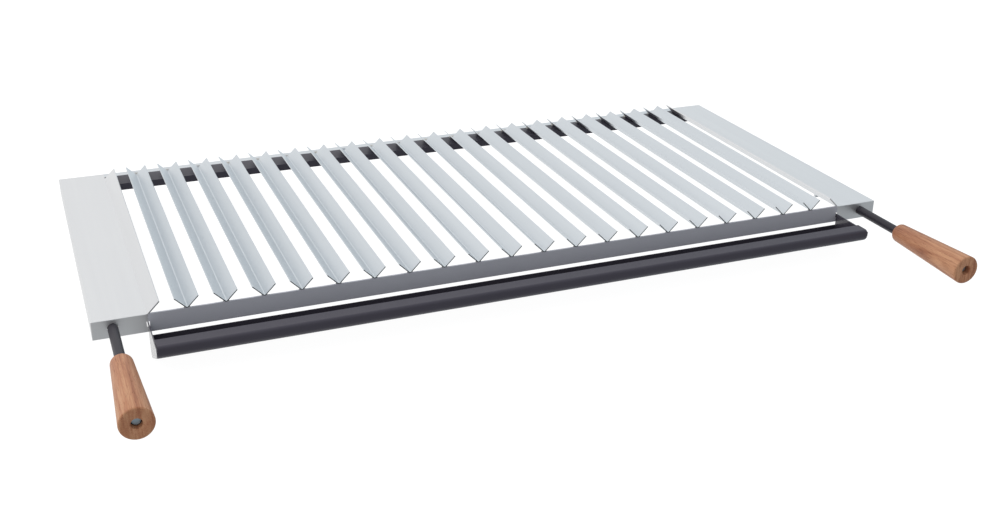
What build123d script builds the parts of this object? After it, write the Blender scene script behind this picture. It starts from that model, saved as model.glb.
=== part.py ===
from build123d import *
import os
from math import cos, radians, sqrt, tan

# Barbecue grate: V-shaped grease channels between two folded side panels, a grease tray hooked
# on the front and two wooden grips on steel rods. Millimetres, +X right, +Y back, +Z up.
# It is drawn with y = 0 at the front face and z = 0 at the top of the side panels, and the
# finished assembly is then moved so that its origin is the bottom centre of its own box.

# Whole grate
channel_count = 20
channel_pitch = 37.2
grate_depth = 405.0            # front face to back face
frame_height = 18.8            # side flanges and front crossbar

# Grease channels, folded from strip into a V of two 45 degree wings
channel_width = 23.4
channel_sheet = 1.0
channel_bend = 1.2             # inside radius of the fold
channel_stop = 16.5            # from the channels' rear ends to the back face

# Side panels
panel_flat = 52.0
panel_sheet = 1.2
panel_corner = 0.8             # outside radius of the folded edges
weld_gap = 0.1

# Bars across the grate
crossbar_thickness = 2.0
rear_bar_width = 30.0
rear_bar_thickness = 8.0
rear_bar_tongue = 25.0         # length of each end, stepped down, that is welded under a panel
rear_rail_width = 11.5

# Grease tray: a sheet trough with an inward hem, between two hooked end plates
tray_sheet = 1.0
tray_reach = 57.7              # how far the nose stands in front of the grate
tray_drop = 7.3                # from the panels' top down to the top of the hem
hem_width = 16.5
tray_front_height = 11.5       # nose face, from the hem down to the sloping floor
tray_slope = 26.0              # degrees that the floor falls towards the back
tray_back_drop = 22.7          # from the panels' top down to the back wall's upper edge
nose_radius = 3.0
front_radius = 10.0
rear_radius = 4.0
tray_gap = 0.3                 # from the tray to the front face that it hangs against
end_sheet = 1.2
end_drop = 9.5                 # from the panels' top down to the end plates' upper edge

# Tray hooks, which pass through slots where the front crossbar meets the panels
hook_height = 4.0
hook_seat = 0.2                # under the hook, to the bottom of its slot
hook_play = 1.6                # above the hook, which lets the tray swing up
hook_side_play = 0.9
hook_gap = 0.3                 # from the crossbar's rear face to the turned-down nose
hook_nose = 2.4                # how far the nose reaches below the hook
hook_tip = 2.5

# Handles
rod_diameter = 10.0
rod_inset = 19.5               # from the panel's outer edge to the rod's axis
rod_exposed = 69.5
rod_hole_gap = 0.2
rod_chamfer = 1.3
grip_length = 111.0
grip_end_diameter = 31.0
grip_neck_diameter = 20.5
grip_neck_radius = 4.5
grip_end_radius = 1.8
grip_recess = 5.5              # from the grip's flat end in to the rod's end

# How the rods are held: a gusset welded across each panel, with a washer and a nut behind it
gusset_setback = 70.0
gusset_thickness = 3.0
gusset_width = 30.0
gusset_height = 16.0
stud_diameter = 6.0
stud_hole_gap = 0.2
stud_past_nut = 2.0
washer_diameter = 12.0
washer_thickness = 1.6
nut_across_flats = 10.0
nut_height = 5.0

field_half = channel_pitch * (channel_count + 1) / 2
grate_half = field_half + panel_flat
channel_outer_bend = channel_bend + channel_sheet
channel_top = (channel_width / 2 - channel_outer_bend * (sqrt(2) - 1)
               + channel_sheet / sqrt(2))
channel_length = grate_depth - channel_stop
rod_x = grate_half - rod_inset
rod_z = -frame_height / 2
slot_width = end_sheet + 2 * hook_side_play
tray_half = field_half + end_sheet / 2
hook_bottom = -end_drop - hook_height
slot_bottom = hook_bottom - hook_seat
slot_top = -end_drop + hook_play


def block(x, y, z):
    """A box between two limits on each axis."""
    size = [span[1] - span[0] for span in (x, y, z)]
    middle = [(span[0] + span[1]) / 2 for span in (x, y, z)]
    return Pos(*middle) * Box(*size)


def mirrored(solid):
    return mirror(solid, about=Plane.YZ)


def channel():
    """One V, with the bottom of its fold on z = 0."""
    middle_bend = channel_bend + channel_sheet / 2
    fold_z = channel_sheet / 2 - middle_bend * (sqrt(2) - 1)
    reach = channel_width / 2 - channel_sheet / 2 / sqrt(2)
    middle_line = FilletPolyline((-reach, fold_z + reach), (0, fold_z), (reach, fold_z + reach),
                                 radius=middle_bend)
    section = Plane.XZ * trace(middle_line, line_width=channel_sheet)
    return extrude(section, channel_length, dir=(0, 1, 0))


def panel_lip():
    """The inner edge of a panel, folded up at 45 degrees to the height of the channels."""
    under_fold = panel_sheet * (sqrt(2) - 1)
    square_cut = panel_sheet / sqrt(2)
    tip_x = field_half - channel_top
    section = make_face(Polyline((field_half + panel_sheet, 0), (field_half, 0),
                                 (tip_x, channel_top), (tip_x - square_cut, channel_top - square_cut),
                                 (field_half - under_fold, -panel_sheet),
                                 (field_half + panel_sheet, -panel_sheet), close=True))
    return extrude(Plane.XZ * section, channel_length, dir=(0, 1, 0))


def hook_slot():
    """The right hook's slot, half in the crossbar's end and half in the panel's front flange."""
    return block((field_half - slot_width / 2, field_half + slot_width / 2),
                 (-crossbar_thickness, 2 * crossbar_thickness), (slot_bottom, slot_top))


def side_panel():
    """The right panel: a flat top, three flanges turned down and a lip turned up."""
    outside = block((field_half, grate_half), (0, grate_depth), (-frame_height, 0))
    folded = outside.edges().group_by(Axis.Z)[-1] + outside.edges().filter_by(Axis.Z)
    outer_edges = [edge for edge in folded if edge.center().X > field_half + panel_sheet]
    outside = fillet(outer_edges, panel_corner)
    hollow = block((field_half - panel_sheet, grate_half - panel_sheet),
                   (panel_sheet, grate_depth - panel_sheet),
                   (-frame_height - panel_sheet, -panel_sheet))
    rod_hole = Pos(rod_x, 0, rod_z) * Rot(90, 0, 0) * Cylinder(
        rod_diameter / 2 + rod_hole_gap, 4 * panel_sheet)
    return outside - hollow + panel_lip() - rod_hole - hook_slot()


def front_crossbar():
    """A flat bar on edge, slotted at both ends for the tray's hooks."""
    bar = block((-field_half, field_half), (0, crossbar_thickness), (-frame_height, 0))
    under_lips = bar.edges().filter_by(Axis.Y).group_by(Axis.Z)[-1]
    bar = chamfer(under_lips, panel_sheet * sqrt(2) + weld_gap)
    return bar - hook_slot() - mirrored(hook_slot())


def rear_support_bar():
    """A flat bar under the channels' rear ends, with a tongue under each panel."""
    back = grate_depth - rear_rail_width
    reach = field_half + rear_bar_tongue
    bar = block((-reach, reach), (back - rear_bar_width, back), (-rear_bar_thickness, 0))
    under_fold = panel_sheet * sqrt(2) + weld_gap
    step = block((field_half - under_fold, reach + 1), (back - rear_bar_width - 1, back + 1),
                 (-panel_sheet, 1))
    return bar - step - mirrored(step)


def rear_rail():
    """The folded strip that closes the back of the frame."""
    top = block((-field_half, field_half), (grate_depth - rear_rail_width, grate_depth),
                (-panel_sheet, 0))
    back = block((-field_half, field_half), (grate_depth - panel_sheet, grate_depth),
                 (-frame_height, 0))
    rail = top + back
    folded = rail.edges().filter_by(Axis.X).group_by(Axis.Z)[-1].sort_by(Axis.Y)[-1]
    return fillet(folded, panel_corner)


def tray_line(inset):
    """The trough's section, inset from its outer surface: its corners, hem first, and radii."""
    nose_y = -tray_reach + inset
    rear_y = -tray_gap - inset
    fall = tan(radians(tray_slope))
    floor_z = -tray_drop - tray_front_height + inset / cos(radians(tray_slope))
    corners = [(-tray_reach + hem_width, -tray_drop - inset),
               (nose_y, -tray_drop - inset),
               (nose_y, floor_z - fall * inset),
               (rear_y, floor_z - fall * (rear_y + tray_reach)),
               (rear_y, -tray_back_drop)]
    radii = [radius - inset for radius in (nose_radius, front_radius, rear_radius)]
    return corners, radii


def tray_trough():
    corners, radii = tray_line(tray_sheet / 2)
    middle_line = FilletPolyline(*corners, radius=radii)
    section = Plane.YZ * trace(middle_line, line_width=tray_sheet)
    return extrude(section, tray_half - end_sheet, both=True)


def hook():
    """The section of a hook: a finger with its end turned down behind the crossbar."""
    nose_y = crossbar_thickness + hook_gap
    return make_face(Polyline((-tray_gap - end_sheet, -end_drop),
                              (nose_y + hook_nose + hook_tip, -end_drop),
                              (nose_y + hook_nose + hook_tip, hook_bottom - hook_nose),
                              (nose_y + hook_nose, hook_bottom - hook_nose),
                              (nose_y, hook_bottom),
                              (-tray_gap - end_sheet, hook_bottom), close=True))


def tray_end():
    """The right end plate, the shape of the trough's section with a hook at the back."""
    corners, radii = tray_line(0)
    outline = FilletPolyline(*corners, radius=radii)
    rim = Polyline(outline @ 1, (-tray_gap, -tray_drop), outline @ 0)
    plate = make_face(outline + rim)
    above = Pos(-tray_reach / 2, -end_drop + tray_reach / 2) * Rectangle(2 * tray_reach, tray_reach)
    section = Plane.YZ * (plate - above + hook())
    return Pos(tray_half - end_sheet, 0, 0) * extrude(section, end_sheet, dir=(1, 0, 0))


def along_rod(solid, y):
    """A turned piece, drawn along +Z from its front end, put on the right rod's axis at y."""
    return Pos(rod_x, y, rod_z) * Rot(-90, 0, 0) * solid


def turned(radius, length):
    return Cylinder(radius, length, align=(Align.CENTER, Align.CENTER, Align.MIN))


def handle_rod():
    """A round bar with a chamfered outer end and a stud turned on its inner end."""
    front = -rod_exposed - grip_length + grip_recess
    bar = turned(rod_diameter / 2, gusset_setback - front)
    bar = chamfer(bar.edges().group_by(Axis.Z)[0], rod_chamfer)
    stud_length = gusset_thickness + washer_thickness + nut_height + stud_past_nut
    stud = turned(stud_diameter / 2, stud_length)
    return along_rod(bar, front) + along_rod(stud, gusset_setback)


def grip():
    """A tapered wooden grip, bored right through for the rod."""
    body = Cone(grip_end_diameter / 2, grip_neck_diameter / 2, grip_length,
                align=(Align.CENTER, Align.CENTER, Align.MIN))
    body = fillet(body.edges().group_by(Axis.Z)[0], grip_end_radius)
    body = fillet(body.edges().group_by(Axis.Z)[-1], grip_neck_radius)
    return along_rod(body - turned(rod_diameter / 2, grip_length), -rod_exposed - grip_length)


def handle_gusset():
    """A plate welded across a panel, which takes the pull of the rod."""
    outer = grate_half - panel_sheet
    plate = block((outer - gusset_width, outer), (gusset_setback, gusset_setback + gusset_thickness),
                  (-panel_sheet - gusset_height, -panel_sheet))
    hole = along_rod(turned(stud_diameter / 2 + stud_hole_gap, gusset_thickness), gusset_setback)
    return plate - hole


def handle_washer():
    ring = turned(washer_diameter / 2, washer_thickness)
    hole = turned(stud_diameter / 2 + stud_hole_gap, washer_thickness)
    return along_rod(ring - hole, gusset_setback + gusset_thickness)


def handle_nut():
    hexagon = extrude(RegularPolygon(nut_across_flats / 2, 6, major_radius=False), nut_height)
    nut = hexagon - turned(stud_diameter / 2, nut_height)
    return along_rod(nut, gusset_setback + gusset_thickness + washer_thickness)


parts = {
    "front_crossbar": front_crossbar(),
    "rear_support_bar": rear_support_bar(),
    "rear_rail": rear_rail(),
    "tray_trough": tray_trough(),
}

handed = {
    "side_panel": side_panel(),
    "tray_end": tray_end(),
    "handle_rod": handle_rod(),
    "grip": grip(),
    "handle_gusset": handle_gusset(),
    "handle_washer": handle_washer(),
    "handle_nut": handle_nut(),
}
for name, solid in handed.items():
    parts[name + "_right"] = solid
    parts[name + "_left"] = mirrored(solid)

v_channel = channel()
for number in range(1, channel_count + 1):
    x = -field_half + number * channel_pitch
    parts[f"v_channel_{number:02d}"] = Pos(x, 0, 0) * v_channel

whole = Compound([body for solid in parts.values() for body in solid.solids()]).bounding_box()
to_origin = Pos(-whole.center().X, -whole.center().Y, -whole.min.Z)
os.makedirs("parts", exist_ok=True)
for name, solid in parts.items():
    export_step(to_origin * solid, f"parts/{name}.step")
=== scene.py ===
from math import pi, radians

import bmesh
import bpy
from mathutils import Matrix, Vector


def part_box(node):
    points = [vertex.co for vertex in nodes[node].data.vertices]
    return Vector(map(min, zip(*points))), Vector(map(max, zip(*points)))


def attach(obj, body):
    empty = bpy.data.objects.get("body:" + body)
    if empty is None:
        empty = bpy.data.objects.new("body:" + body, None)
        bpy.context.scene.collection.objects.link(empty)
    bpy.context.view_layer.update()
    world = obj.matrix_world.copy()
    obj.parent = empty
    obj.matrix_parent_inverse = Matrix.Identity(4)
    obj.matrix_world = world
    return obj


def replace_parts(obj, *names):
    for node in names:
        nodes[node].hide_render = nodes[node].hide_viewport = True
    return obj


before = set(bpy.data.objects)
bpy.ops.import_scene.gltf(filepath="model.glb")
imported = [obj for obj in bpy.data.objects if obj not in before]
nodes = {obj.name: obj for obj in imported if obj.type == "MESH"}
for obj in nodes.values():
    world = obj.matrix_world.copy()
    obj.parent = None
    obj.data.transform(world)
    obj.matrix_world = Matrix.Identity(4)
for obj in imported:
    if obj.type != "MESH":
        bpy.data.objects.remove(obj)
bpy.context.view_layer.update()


# Viewer: stands in front of the grate's left half and looks down and to the right over it.
# The axes are the view's right, its up and the way back to the viewer.
viewer = Vector((-0.47540, -1.20017, 0.57247))
to_the_right = Vector((0.92765166, -0.37331501, 0.00991431))
upwards = Vector((0.14482925, 0.38410339, 0.91186023))
backwards = Vector((-0.34421923, -0.84445278, 0.41038108))
camera = bpy.data.objects.new("camera", bpy.data.cameras.new("camera"))
camera.data.sensor_width = 36.0
camera.data.lens = 44.446
camera.data.clip_end = 100.0
turn = Matrix((to_the_right, upwards, backwards)).transposed().to_4x4()
camera.matrix_world = Matrix.Translation(viewer) @ turn
bpy.context.scene.collection.objects.link(camera)
bpy.context.scene.camera = camera


# Side panels, rear rail and the gussets under the panels: stainless sheet with a fine brushed
# grain. A panel is folded down at the front, outside and back, and its inner edge is folded up.
class Wire:
    """A socket in a finish. Sums on it add Math nodes, and node() adds any other node."""

    def __init__(self, tree, socket=None):
        self.tree, self.socket = tree, socket

    def node(self, kind, settings, sockets, out=0):
        made = self.tree.nodes.new(kind)
        for name, value in settings.items():
            if name != "stops":
                setattr(made, name, value)
                continue
            ramp = made.color_ramp.elements
            for number, (place, colour) in enumerate(value):
                stop = ramp[number] if number < 2 else ramp.new(place)
                stop.position, stop.color = place, (*colour, 1.0)
        for name, value in sockets.items():
            if isinstance(value, Wire):
                self.tree.links.new(value.socket, made.inputs[name])
            else:
                made.inputs[name].default_value = value
        return Wire(self.tree, made.outputs[out] if made.outputs else None)

    def sum(self, operation, first, second):
        return self.node("ShaderNodeMath", {"operation": operation}, {0: first, 1: second})

    def __add__(self, other):
        return self.sum("ADD", self, other)

    def __radd__(self, other):
        return self.sum("ADD", other, self)

    def __sub__(self, other):
        return self.sum("SUBTRACT", self, other)

    def __rsub__(self, other):
        return self.sum("SUBTRACT", other, self)

    def __mul__(self, other):
        return self.sum("MULTIPLY", self, other)

    def __rmul__(self, other):
        return self.sum("MULTIPLY", other, self)

    def __gt__(self, other):
        return self.sum("GREATER_THAN", self, other)

    def __lt__(self, other):
        return self.sum("LESS_THAN", self, other)

    def __abs__(self):
        return self.sum("ABSOLUTE", self, 0.0)


def tint(red, green, blue):
    """A colour as a paint chart gives it, 0 to 255, turned into light."""
    return tuple((part / 255) ** 2.2 for part in (red, green, blue)) + (1.0,)


def new_finish(name):
    made = bpy.data.materials.new(name)
    made.use_nodes = True
    made.node_tree.nodes.clear()
    return made, Wire(made.node_tree)


def speckle(place, scale, detail=2.0, sharpness=0.5):
    """Noise from 0 to 1, stretched by a scale for each axis, in cycles a metre."""
    stretched = place.node("ShaderNodeMapping", {}, {"Vector": place, "Scale": scale})
    return place.node("ShaderNodeTexNoise", {},
                      {"Vector": stretched, "Scale": 1.0, "Detail": detail, "Roughness": sharpness})


def between(wire, factor, first, second):
    """A colour that goes from first to second."""
    return wire.node("ShaderNodeMix", {"data_type": "RGBA"}, {0: factor, 6: first, 7: second}, out=2)


def coat_with(wire, sockets):
    shader = wire.node("ShaderNodeBsdfPrincipled", {}, sockets)
    wire.node("ShaderNodeOutputMaterial", {}, {"Surface": shader})


def stainless(name, light, dark, lengthwise, cut_ends):
    """Brushed sheet: fine lines along the sheet, broader bands, and dull cut ends if it has any."""
    finish, wire = new_finish(name)
    place = wire.node("ShaderNodeTexCoord", {}, {}, out="Object")
    facing = wire.node("ShaderNodeTexCoord", {}, {}, out="Normal")
    towards_front = abs(facing.node("ShaderNodeSeparateXYZ", {}, {0: facing}, out="Y")) > 0.8
    if not cut_ends:  # the grain follows the sheet round the folds at its front and back
        upright = place.node("ShaderNodeMapping", {}, {"Vector": place, "Rotation": (pi / 2, 0, 0)})
        place = wire.node("ShaderNodeMix", {"data_type": "VECTOR"},
                          {0: towards_front, 4: place, 5: upright}, out=1)
    across, along = 1600.0, 14.0
    broad, long = 90, 2.5
    if lengthwise == "x":
        lines = speckle(place, (along, across, across))
        bands = speckle(place, (long, broad, broad))
    else:
        lines = speckle(place, (across, along, across))
        bands = speckle(place, (broad, long, broad))
    hands = speckle(place, (9, 5, 9), 3.0)
    colour = between(wire, 0.35 * lines + 0.65 * bands, dark, light)
    roughness = 0.3 + 0.1 * lines + 0.12 * hands
    if cut_ends:
        colour = between(wire, towards_front, colour, tint(150, 155, 160))
        roughness = roughness + 0.15 * towards_front
    relief = wire.node("ShaderNodeBump", {}, {"Strength": 0.12, "Distance": 0.0002, "Height": lines})
    coat_with(wire, {"Base Color": colour, "Metallic": 1.0, "Roughness": roughness,
                     "Normal": relief})
    return finish


panel_finish = stainless("brushed panel stainless", tint(228, 229, 230), tint(216, 217, 219),
                         "y", False)
rail_finish = stainless("brushed rail stainless", tint(220, 223, 226), tint(204, 209, 213),
                        "x", False)
for side in ("left", "right"):
    nodes[f"side_panel_{side}"].material_slots[0].material = panel_finish
    nodes[f"handle_gusset_{side}"].material_slots[0].material = rail_finish
nodes["rear_rail"].material_slots[0].material = rail_finish


# Grease channels: twenty strips of the same stainless, each folded lengthwise into a V that
# carries the fat forward to the tray. Their sheared ends are left as cut.
channel_finish = stainless("brushed channel stainless", tint(216, 221, 225), tint(202, 208, 213),
                           "y", True)
channels = sorted(name for name in nodes if name.startswith("v_channel_"))
for name in channels:
    nodes[name].material_slots[0].material = channel_finish


# Weld beads: short rippled runs of stainless filler that fix the channels to both bars, the
# crossbar to the panels and the gussets under the panels.
weld_radius = 0.0010
rear_weld_radius = 0.0021
rear_weld_half = 0.0036
ripple = 0.0011
blunt_end = 0.55  # a bead's width at its two ends, as a share of its full width
beside_fold = 0.0019
behind_channel = 0.0019
gusset_weld_inset = 0.003


def weld_run(seams, start, end, radius):
    """A rippled bead from start to end, with rounded-off ends."""
    start, end = Vector(start), Vector(end)
    run = end - start
    ripples = max(2, round(run.length / ripple))
    bead = bmesh.new()
    bmesh.ops.create_circle(bead, cap_ends=True, radius=blunt_end * radius, segments=8)
    face = bead.faces[:][0]
    width, widths = blunt_end, [1.1, 0.92] * ripples + [blunt_end]
    for wider in widths:
        grown = bmesh.ops.extrude_face_region(bead, geom=[face])["geom"]
        if width != blunt_end or wider == blunt_end:
            bmesh.ops.delete(bead, geom=[face], context="FACES_ONLY")
        ring = [part for part in grown if isinstance(part, bmesh.types.BMVert)]
        face = next(part for part in grown if isinstance(part, bmesh.types.BMFace))
        bmesh.ops.translate(bead, vec=(0, 0, run.length / len(widths)), verts=ring)
        bmesh.ops.scale(bead, vec=(wider / width,) * 3, verts=ring,
                        space=Matrix.Translation(-face.calc_center_median()))
        width = wider
    turned = run.to_track_quat("Z", "Y").to_matrix().to_4x4()
    bmesh.ops.transform(bead, matrix=Matrix.Translation(start) @ turned, verts=bead.verts)
    bmesh.ops.recalc_face_normals(bead, faces=bead.faces)
    laid = bpy.data.meshes.new("weld run")
    bead.to_mesh(laid)
    bead.free()
    seams.from_mesh(laid)
    bpy.data.meshes.remove(laid)


def finished_piece(name, shape, finish, body, smooth=35):
    """A piece from a bmesh that is already in its place."""
    bmesh.ops.recalc_face_normals(shape, faces=shape.faces)
    mesh = bpy.data.meshes.new(name)
    shape.to_mesh(mesh)
    shape.free()
    mesh.shade_smooth()
    mesh.set_sharp_from_angle(angle=radians(smooth))
    mesh.materials.append(finish)
    piece = bpy.data.objects.new(name, mesh)
    bpy.context.scene.collection.objects.link(piece)
    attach(piece, body)
    return piece


seams = bmesh.new()
crossbar_low, crossbar_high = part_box("front_crossbar")
for name in channels:
    low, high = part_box(name)
    middle = (low.x + high.x) / 2
    for side in (-1, 1):
        x, z = middle + side * beside_fold, low.z + 0.0005
        weld_run(seams, (x, crossbar_low.y + 0.0007, z), (x, crossbar_high.y, z), weld_radius)
    y, z = high.y + behind_channel, low.z + 0.0003
    weld_run(seams, (middle - rear_weld_half, y, z), (middle + rear_weld_half, y, z),
             rear_weld_radius)
for side, mirrored in (("left", -1), ("right", 1)):
    x, z = mirrored * crossbar_high.x, crossbar_high.z
    weld_run(seams, (x, crossbar_high.y, z - 0.0058), (x, crossbar_high.y, z - 0.0022), weld_radius)
    low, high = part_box(f"handle_gusset_{side}")
    z = high.z - 0.0006
    for y in (low.y, high.y):
        weld_run(seams, (low.x + gusset_weld_inset, y, z), (high.x - gusset_weld_inset, y, z),
                 weld_radius)

finish, wire = new_finish("weld bead")
place = wire.node("ShaderNodeTexCoord", {}, {}, out="Object")
heat = speckle(place, (60, 60, 60), 2.0)
colour = wire.node("ShaderNodeValToRGB", {"stops": [
    (0.35, tint(196, 198, 200)[:3]), (0.55, tint(204, 202, 196)[:3]),
    (0.7, tint(176, 182, 190)[:3])]}, {"Fac": heat})
coat_with(wire, {"Base Color": colour, "Metallic": 1.0, "Roughness": 0.4 + 0.2 * heat})
finished_piece("weld_beads", seams, finish, "grate", 60)


# Front crossbar: a flat steel bar on edge, sprayed satin grey, which the channels stand on.
# The tray's two hooks drop into slots cut where it meets the panels.
def satin_paint(name, colour, worn, roughness, gloss=0.0):
    """Sprayed paint: a fine orange peel, with a slightly uneven sheen and a gloss if it has any."""
    finish, wire = new_finish(name)
    place = wire.node("ShaderNodeTexCoord", {}, {}, out="Object")
    peel = speckle(place, (700, 700, 700), 1.0)
    cloud = speckle(place, (14, 14, 14), 4.0, 0.6)
    relief = wire.node("ShaderNodeBump", {}, {"Strength": 0.2, "Distance": 0.0002, "Height": peel})
    coat_with(wire, {"Base Color": between(wire, cloud, colour, worn), "Metallic": 0.0,
                     "Roughness": roughness - 0.08 + 0.16 * cloud, "Specular IOR Level": 0.3,
                     "Coat Weight": gloss, "Coat Roughness": 0.06, "Normal": relief})
    return finish


grey_paint = satin_paint("satin grey paint", tint(190, 191, 200), tint(198, 199, 208), 0.42)
nodes["front_crossbar"].material_slots[0].material = grey_paint


# Rear support bar: a heavy flat bar in black stove paint, stepped down at its ends and welded
# under the panels. The channels' rear ends lie on it.
black_paint = satin_paint("satin black paint", tint(66, 63, 73), tint(72, 69, 79), 0.45)
nodes["rear_support_bar"].material_slots[0].material = black_paint


# Grease tray: a folded black sheet trough with a rounded nose and an inward hem. Its end plates
# carry the hooks, and it swings up and lifts off to be emptied.
nodes["tray_trough"].material_slots[0].material = black_paint
end_paint = satin_paint("glossy black end plates", tint(66, 63, 73), tint(72, 69, 79), 0.4, 0.8)
for side in ("left", "right"):
    nodes[f"tray_end_{side}"].material_slots[0].material = end_paint


# Handle rods: round steel bars in the same black paint, faced and left bare at the outer end.
# Each has a threaded stud turned on its inner end, behind a shoulder that meets the gusset.
rod_radius = 0.005
rod_chamfer = 0.0013
stud_radius = 0.003
thread_pitch = 0.001
thread_depth = 0.00055


def turn_round(profile, axis_x, axis_z, steps):
    """A bmesh of a closed or open outline of (radius, y) points, spun about a line along Y."""
    shape = bmesh.new()
    rows = [shape.verts.new((radius, y, 0)) for radius, y in profile]
    for first, second in zip(rows, rows[1:]):
        shape.edges.new((first, second))
    bmesh.ops.spin(shape, geom=shape.verts[:] + shape.edges[:], cent=(0, 0, 0), axis=(0, 1, 0),
                   dvec=(0, 0, 0), angle=2 * pi, steps=steps, use_merge=True)
    bmesh.ops.remove_doubles(shape, verts=shape.verts, dist=1e-6)
    bmesh.ops.translate(shape, vec=(axis_x, 0, axis_z), verts=shape.verts)
    return shape


def black_rod_finish(bare_below, bare_above):
    finish, wire = new_finish("satin black rod")
    place = wire.node("ShaderNodeTexCoord", {}, {}, out="Object")
    along = place.node("ShaderNodeSeparateXYZ", {}, {0: place}, out="Y")
    bare = (along < bare_below) + (along > bare_above)
    peel = speckle(place, (800, 800, 800), 1.0)
    cloud = speckle(place, (40, 12, 40), 3.0)
    faced = speckle(place, (500, 500, 500), 2.0)
    paint = between(wire, cloud, tint(35, 32, 41), tint(45, 42, 52))
    steel = between(wire, faced, tint(150, 172, 186), tint(176, 194, 204))
    relief = wire.node("ShaderNodeBump", {}, {"Strength": 0.2, "Distance": 0.0002, "Height": peel})
    coat_with(wire, {"Base Color": between(wire, bare, paint, steel), "Metallic": bare,
                     "Roughness": 0.38 + 0.1 * cloud, "Specular IOR Level": 0.4, "Normal": relief})
    return finish


for side in ("left", "right"):
    low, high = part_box(f"handle_rod_{side}")
    gusset_low, gusset_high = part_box(f"handle_gusset_{side}")
    shoulder, thread_start, end = gusset_low.y, gusset_high.y, high.y
    outline = [(0, low.y), (rod_radius - rod_chamfer, low.y), (rod_radius, low.y + rod_chamfer),
               (rod_radius, shoulder), (stud_radius, shoulder), (stud_radius, thread_start)]
    for turn_number in range(int((end - thread_start) / thread_pitch)):
        y = thread_start + turn_number * thread_pitch
        outline += [(stud_radius - thread_depth, y + thread_pitch / 2),
                    (stud_radius, y + thread_pitch)]
    outline += [(stud_radius - thread_depth, end), (0, end)]
    if side == "left":
        rod_finish = black_rod_finish(low.y + 0.0001, shoulder + 0.0001)
    rod = turn_round(outline, (low.x + high.x) / 2, (low.z + high.z) / 2, 48)
    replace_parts(finished_piece(f"rod_{side}", rod, rod_finish, "grate"),
                f"handle_rod_{side}")


# Grips: turned hardwood, tapering from the flat outer end to a rounded neck, bored through and
# pressed on the rods. The growth layers run lengthwise and stand upright in the end grain.
grip_neck_radius = 0.01025
neck_rounding = 0.0045
end_rounding = 0.0018
bore_easing = 0.0005


def oiled_wood(name, light, mid, dark, shift):
    finish, wire = new_finish(name)
    place = wire.node("ShaderNodeTexCoord", {}, {}, out="Object")
    place = place.node("ShaderNodeMapping", {}, {"Vector": place, "Location": shift})
    sway = speckle(place, (22, 5, 22), 2.0)
    layers = speckle(place, (430, 6, 70), 2.0, 0.55)
    figure = speckle(place, (110, 9, 36), 2.0)
    fibres = speckle(place, (1500, 22, 1500), 2.0, 0.6)
    pores = speckle(place, (1900, 70, 1900), 1.0) > 0.665
    tone = 0.42 * layers + 0.34 * figure + 0.24 * fibres + 0.3 * (sway - 0.5)
    colour = wire.node("ShaderNodeValToRGB", {"stops": [
        (0.36, dark[:3]), (0.5, mid[:3]), (0.62, light[:3])]}, {"Fac": tone})
    colour = between(wire, 0.45 * pores, colour, tint(96, 58, 42))
    height = fibres - 0.8 * pores
    relief = wire.node("ShaderNodeBump", {}, {"Strength": 0.25, "Distance": 0.0002, "Height": height})
    coat_with(wire, {"Base Color": colour, "Metallic": 0.0, "Normal": relief,
                     "Roughness": 0.4 + 0.14 * fibres + 0.2 * pores,
                     "Specular IOR Level": 0.3})
    return finish


woods = {
    "left": oiled_wood("oiled wood left", tint(199, 148, 113), tint(179, 122, 90), tint(142, 88, 64),
                       (0.0, 0.0, 0.0)),
    "right": oiled_wood("oiled wood right", tint(202, 150, 115), tint(171, 117, 88), tint(136, 85, 64),
                        (0.31, 0.17, 0.05)),
}
for side in ("left", "right"):
    low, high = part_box(f"grip_{side}")
    end_radius = (high.x - low.x) / 2
    outline = [(rod_radius, high.y), (grip_neck_radius, high.y), (end_radius, low.y),
               (rod_radius, low.y), (rod_radius, high.y)]
    grip = turn_round(outline, 0, 0, 96)
    for radius, y, width, parts in ((grip_neck_radius, high.y, neck_rounding, 8),
                                    (end_radius, low.y, end_rounding, 5),
                                    (rod_radius, low.y, bore_easing, 2)):
        ring = [edge for edge in grip.edges if all(
            abs(corner.co.y - y) < 1e-5 and abs(corner.co.xz.length - radius) < 1e-4
            for corner in edge.verts)]
        bmesh.ops.bevel(grip, geom=ring, offset=width, affect="EDGES", segments=parts, profile=0.5,
                        material=-1)
    bmesh.ops.translate(grip, vec=((low.x + high.x) / 2, 0, (low.z + high.z) / 2), verts=grip.verts)
    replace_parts(finished_piece(f"turned_grip_{side}", grip, woods[side], "grate"),
                f"grip_{side}")


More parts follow.
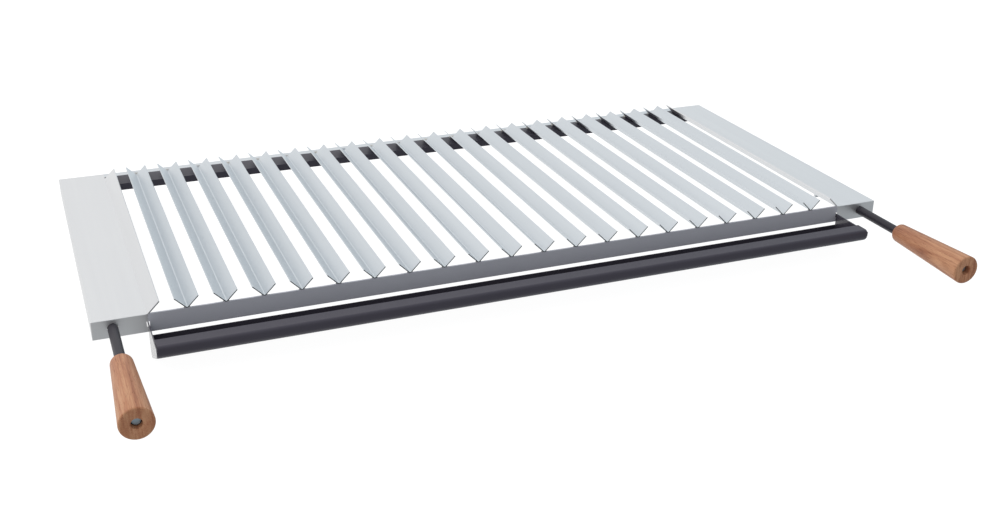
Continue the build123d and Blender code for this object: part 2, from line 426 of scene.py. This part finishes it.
# Washers and nuts: zinc-plated, clamping the rods to the gussets under the panels. The nuts have
# their corners turned off on both faces.
zinc, wire = new_finish("zinc plate")
place = wire.node("ShaderNodeTexCoord", {}, {}, out="Object")
spangle = speckle(place, (350, 350, 350), 2.0)
coat_with(wire, {"Base Color": between(wire, spangle, tint(168, 172, 178), tint(200, 202, 204)),
                 "Metallic": 1.0, "Roughness": 0.3 + 0.2 * spangle})
nut_corner = 0.0009
for side in ("left", "right"):
    nodes[f"handle_washer_{side}"].material_slots[0].material = zinc
    low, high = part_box(f"handle_nut_{side}")
    nut = bmesh.new()
    bmesh.ops.create_circle(nut, cap_ends=False, radius=(high.x - low.x) / 2, segments=6)
    grown = bmesh.ops.extrude_edge_only(nut, edges=nut.edges[:])["geom"]
    raised = [part for part in grown if isinstance(part, bmesh.types.BMVert)]
    bmesh.ops.translate(nut, vec=(0, 0, high.y - low.y), verts=raised)
    bore = bmesh.ops.create_circle(nut, cap_ends=False, radius=stud_radius - thread_depth / 2,
                                   segments=24)["verts"]
    grown = bmesh.ops.extrude_edge_only(
        nut, edges=list({edge for corner in bore for edge in corner.link_edges}))["geom"]
    bmesh.ops.translate(nut, vec=(0, 0, high.y - low.y),
                        verts=[part for part in grown if isinstance(part, bmesh.types.BMVert)])
    for height in (0.0, high.y - low.y):
        rims = [edge for edge in nut.edges if all(abs(c.co.z - height) < 1e-6 for c in edge.verts)]
        bmesh.ops.triangle_fill(nut, edges=rims, use_beauty=True)
    corners = [corner for corner in nut.verts if corner.co.xy.length > stud_radius * 1.2]
    bmesh.ops.bevel(nut, geom=corners, offset=nut_corner, affect="VERTICES", segments=2, profile=0.5,
                    material=-1)
    bmesh.ops.rotate(nut, cent=(0, 0, 0), matrix=Matrix.Rotation(-pi / 2, 3, "X"), verts=nut.verts)
    bmesh.ops.translate(nut, vec=((low.x + high.x) / 2, low.y, (low.z + high.z) / 2), verts=nut.verts)
    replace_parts(finished_piece(f"hex_nut_{side}", nut, zinc, "grate", 20),
                f"handle_nut_{side}")


# Floor: a wide pale sheet that the tray stands on. It glows evenly, and neither lights the
# grate nor shows in its reflections.
floor_half = 30
floor_grey = 0.14
floor_glow = 0.965
floor_shape = bmesh.new()
bmesh.ops.create_grid(floor_shape, x_segments=1, y_segments=1, size=floor_half)
floor_mesh = bpy.data.meshes.new("floor")
floor_shape.to_mesh(floor_mesh)
floor_shape.free()
floor = bpy.data.objects.new("floor", floor_mesh)
bpy.context.scene.collection.objects.link(floor)
finish, wire = new_finish("pale floor")
coat_with(wire, {"Base Color": (floor_grey, floor_grey, floor_grey, 1), "Roughness": 0.9,
                 "Emission Color": (1, 1, 1, 1), "Emission Strength": floor_glow})
floor_mesh.materials.append(finish)
floor.visible_glossy = floor.visible_diffuse = floor.visible_shadow = False


# Light: a bright tent, dimmer towards the viewer and at its sides, so that what faces the front
# or the right is darker, and one large soft lamp high on the left.
world = bpy.data.worlds.new("tent")
bpy.context.scene.world = world
world.use_nodes = True
world.node_tree.nodes.clear()
wire = Wire(world.node_tree)
direction = wire.node("ShaderNodeTexCoord", {}, {}, out="Generated")


def share(axis, low, high, least, most):
    """Light that changes smoothly from least to most along an axis of the tent."""
    along = wire.node("ShaderNodeSeparateXYZ", {}, {0: direction}, out=axis)
    return wire.node("ShaderNodeMapRange", {"interpolation_type": "SMOOTHSTEP"},
                     {0: along, 1: low, 2: high, 3: least, 4: most})


open_front = share("Y", -0.45, 0.3, share("Z", -0.3, 0.5, 0.5, 0.67), 1.0)
sides = share("X", 0.62, 0.95, 1.0, 0.6) * share("X", -0.9, -0.5, 0.92, 1.0)
cool = share("X", share("Y", -0.5, 0.0, -0.6, 0.0), 0.6, 0.0, 1.0)
tent = between(wire, cool, (1.0, 1.0, 1.0, 1), (0.84, 0.895, 0.93, 1))
sky = wire.node("ShaderNodeBackground", {}, {"Color": tent, "Strength": open_front * sides})
wire.node("ShaderNodeOutputWorld", {}, {"Surface": sky})

lamp = bpy.data.objects.new("soft_lamp", bpy.data.lights.new("soft_lamp", "AREA"))
lamp.data.shape = "RECTANGLE"
lamp.data.size, lamp.data.size_y = 1.6, 1.2
lamp.data.energy = 14.5
lamp_place = Vector((-1.6, -0.2, 2.0))
lamp.matrix_world = (Matrix.Translation(lamp_place)
                     @ lamp_place.to_track_quat("Z", "Y").to_matrix().to_4x4())
bpy.context.scene.collection.objects.link(lamp)
bpy.context.scene.view_settings.view_transform = "Standard"
